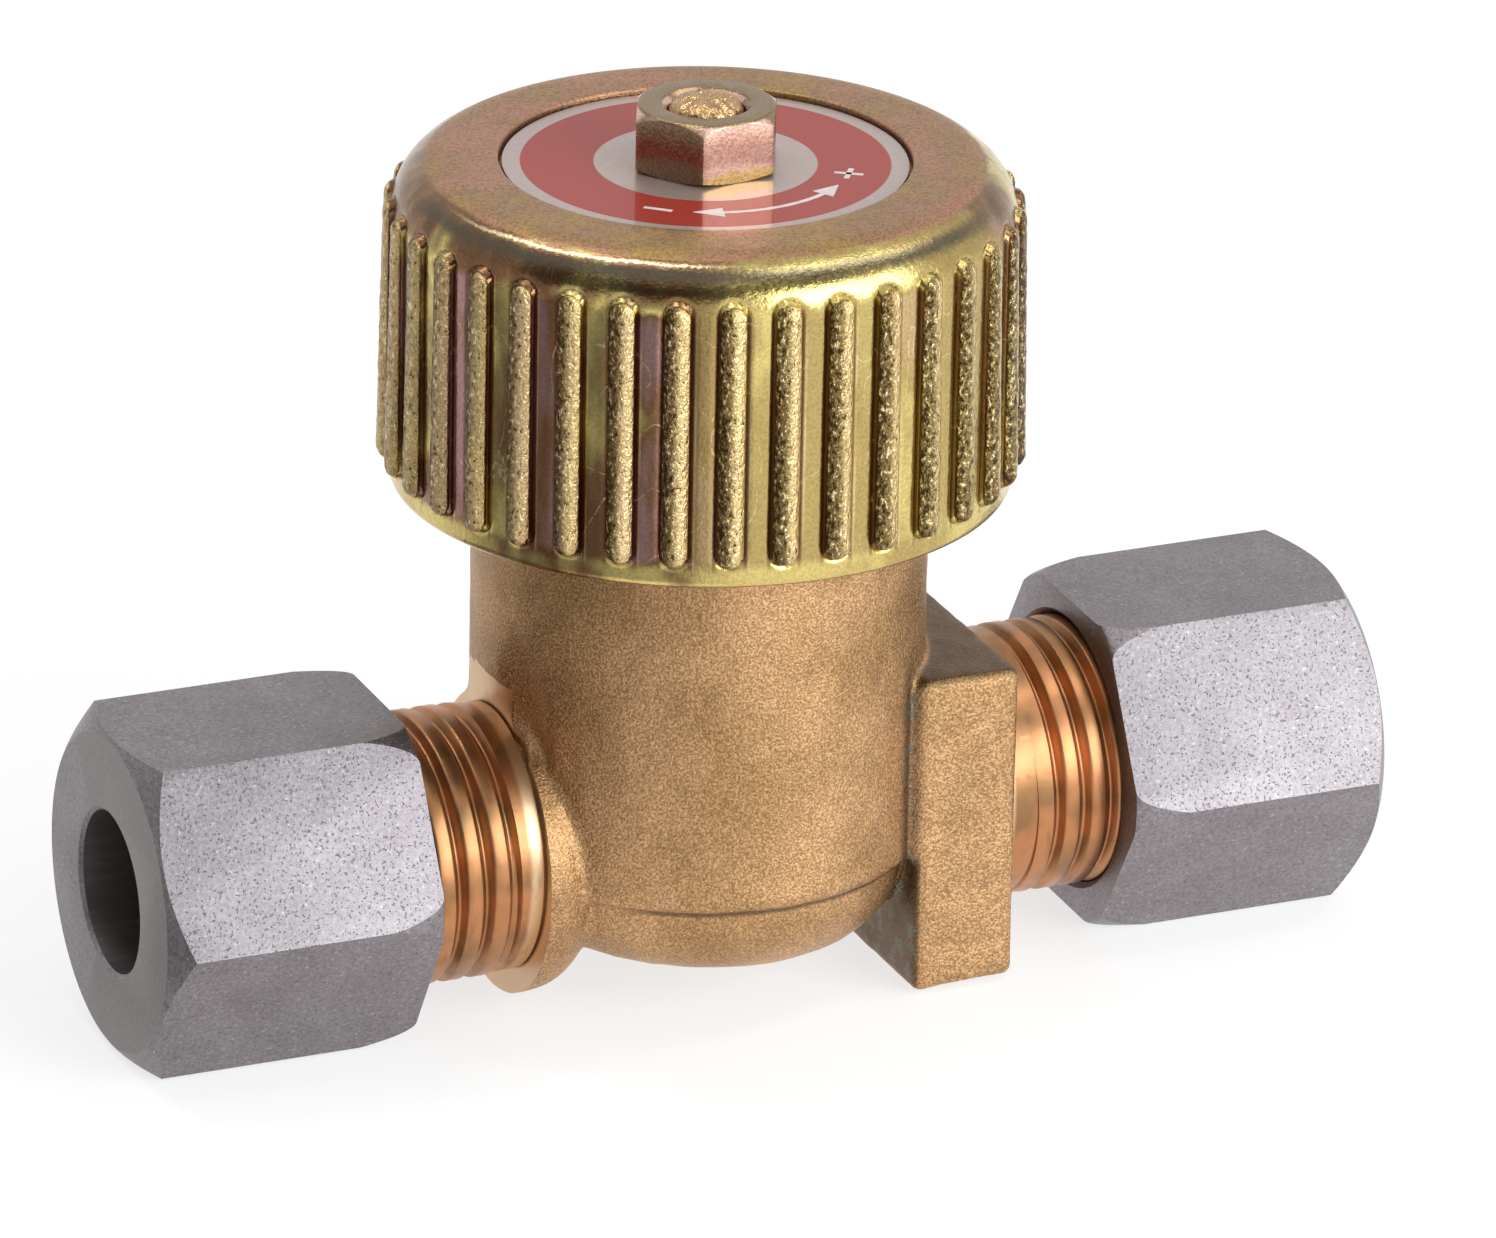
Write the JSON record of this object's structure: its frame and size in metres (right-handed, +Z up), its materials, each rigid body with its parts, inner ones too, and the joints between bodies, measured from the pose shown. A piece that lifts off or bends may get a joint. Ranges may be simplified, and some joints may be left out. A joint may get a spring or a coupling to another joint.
{
  "type": "shut-off valve",
  "caption": "Small brass shut-off valve for 8 mm tube with a ribbed cap handwheel and a hexagon union nut with cutting ring at each end.",
  "frame": {"origin": "centre of the body's flat underside, on the spindle axis", "axes": "+Z up along the spindle towards the handwheel, +X along the tube axis towards the square block"},
  "size_m": [0.0681, 0.0334, 0.0478],
  "materials": {
    "cast_brass": "fine grained casting",
    "turned_brass": "turned",
    "zinc_steel": "grey zinc coat, finely speckled",
    "chromated_steel": "iridescent yellow zinc coat",
    "bright_steel": "turned",
    "printed_aluminium": "glossy with a red printed band",
    "sealing_rubber": "moulded",
    "sealing_fibre": "pressed"
  },
  "bodies": {
    "valve": {"valve_body": "cast_brass", "bonnet": "turned_brass", "bonnet_gasket": "sealing_fibre", "stem_o_ring_lower": "sealing_rubber", "stem_seal_spacer": "turned_brass", "stem_o_ring_upper": "sealing_rubber", "gland_nut": "turned_brass"},
    "disc": {"disc_holder": "turned_brass", "seat_seal": "sealing_rubber", "seal_washer": "bright_steel", "seal_screw": "bright_steel", "foot_ring": "bright_steel"},
    "wheel": {"spindle": "chromated_steel", "handwheel": "chromated_steel", "handwheel_hub": "bright_steel", "label_disc": "printed_aluminium", "handwheel_nut": "chromated_steel"},
    "ring_left": {"cutting_ring_left": "bright_steel"},
    "nut_left": {"union_nut_left": "zinc_steel"},
    "ring_right": {"cutting_ring_right": "bright_steel"},
    "nut_right": {"union_nut_right": "zinc_steel"}
  },
  "joints": [
    {"name": "disc_lift", "type": "slide", "parent": "valve", "child": "disc", "axis": [0, 0, 1], "range_m": [0, 0.003]},
    {"name": "handwheel_turn", "type": "hinge", "parent": "disc", "child": "wheel", "pos_m": [0, 0, 0.03], "axis": [0, 0, 1], "range_deg": [0, 720]},
    {"name": "left_ring_slide", "type": "slide", "parent": "valve", "child": "ring_left", "axis": [-1, 0, 0], "range_m": [0, 0.00525]},
    {"name": "left_nut_turn", "type": "hinge", "parent": "ring_left", "child": "nut_left", "pos_m": [-0.025, 0, 0.006], "axis": [-1, 0, 0], "range_deg": [0, 1260]},
    {"name": "right_ring_slide", "type": "slide", "parent": "valve", "child": "ring_right", "axis": [1, 0, 0], "range_m": [0, 0.00488]},
    {"name": "right_nut_turn", "type": "hinge", "parent": "ring_right", "child": "nut_right", "pos_m": [0.025, 0, 0.006], "axis": [1, 0, 0], "range_deg": [0, 1170]}
  ],
  "couplings": [
    {"joint": "disc_lift", "follows": "handwheel_turn", "m_per_rad": 0.00023873},
    {"joint": "left_ring_slide", "follows": "left_nut_turn", "m_per_rad": 0.00023873},
    {"joint": "right_ring_slide", "follows": "right_nut_turn", "m_per_rad": 0.00023873}
  ]
}
